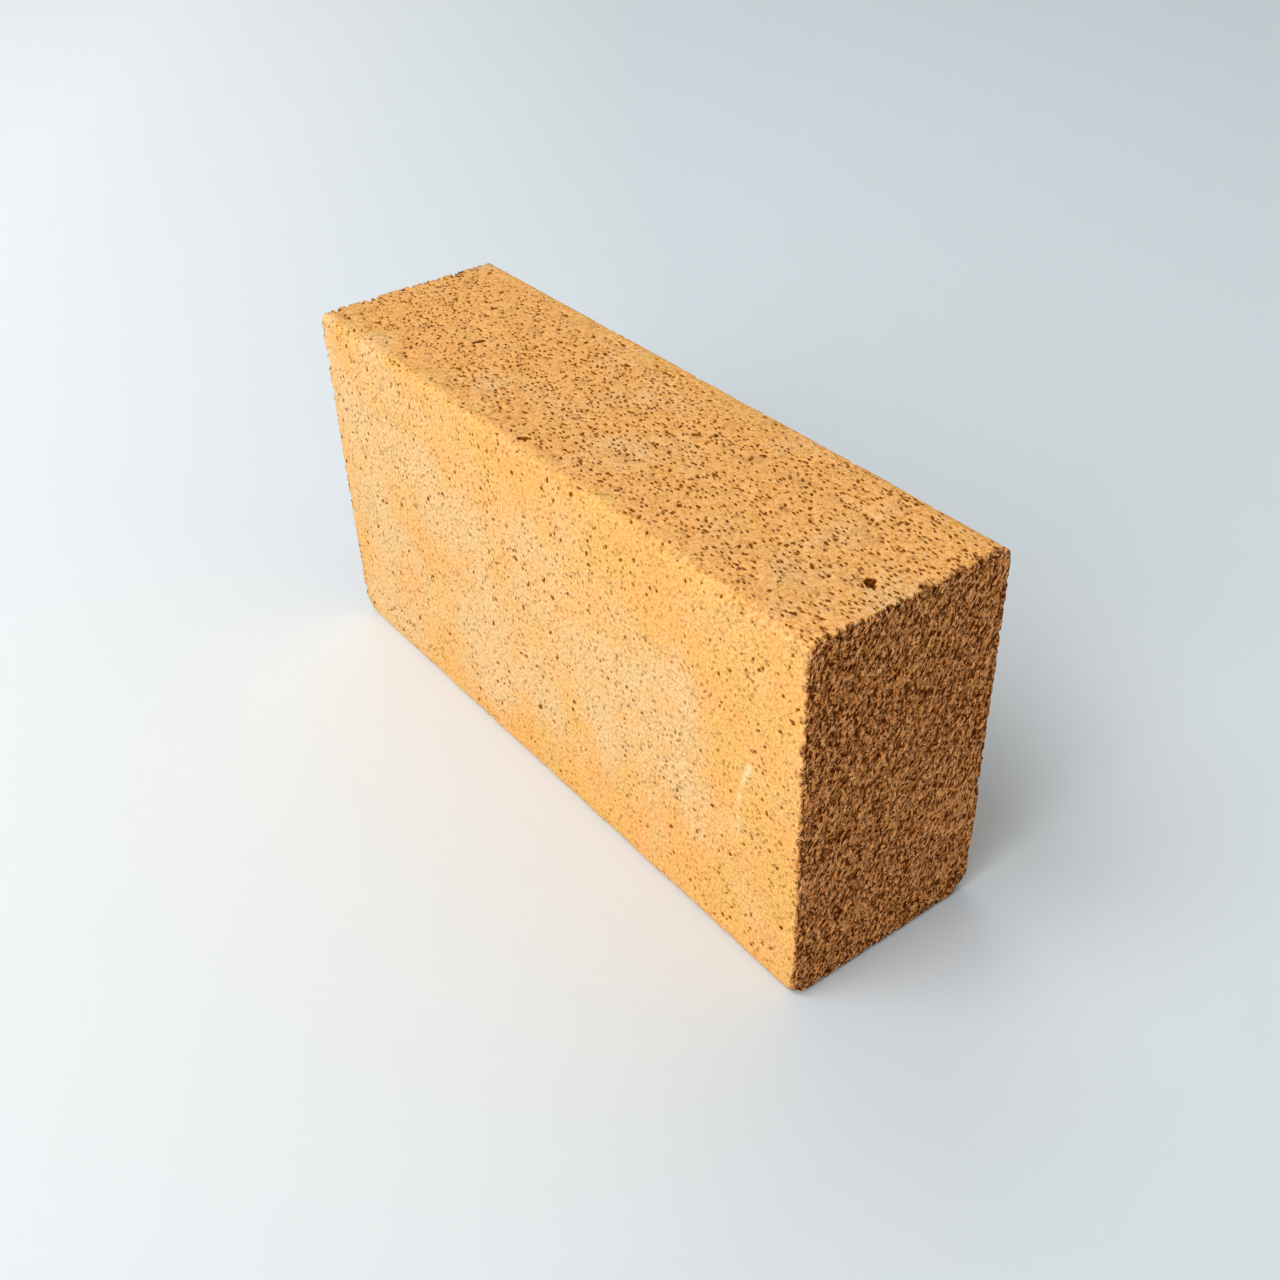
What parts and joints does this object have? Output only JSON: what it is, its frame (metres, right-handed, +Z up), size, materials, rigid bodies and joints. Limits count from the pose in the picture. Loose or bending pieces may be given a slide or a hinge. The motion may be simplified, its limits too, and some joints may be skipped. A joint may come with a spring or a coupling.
{
  "type": "insulating fire brick",
  "caption": "Rectangular block of porous fired clay with small burnt-out pores, torn wire-cut ends and knocked corners, laid to line and insulate kilns and furnaces.",
  "frame": {"origin": "middle of the long narrow face that the brick stands on", "axes": "+X along the brick's length, towards the wire-cut end with two knocked bottom corners; +Y across its thickness, from one broad face to the other; +Z up, along its width"},
  "size_m": [0.23, 0.065, 0.114],
  "materials": {
    "fired_clay": "matte"
  },
  "bodies": {
    "root": {"brick": "fired_clay"}
  },
  "joints": []
}
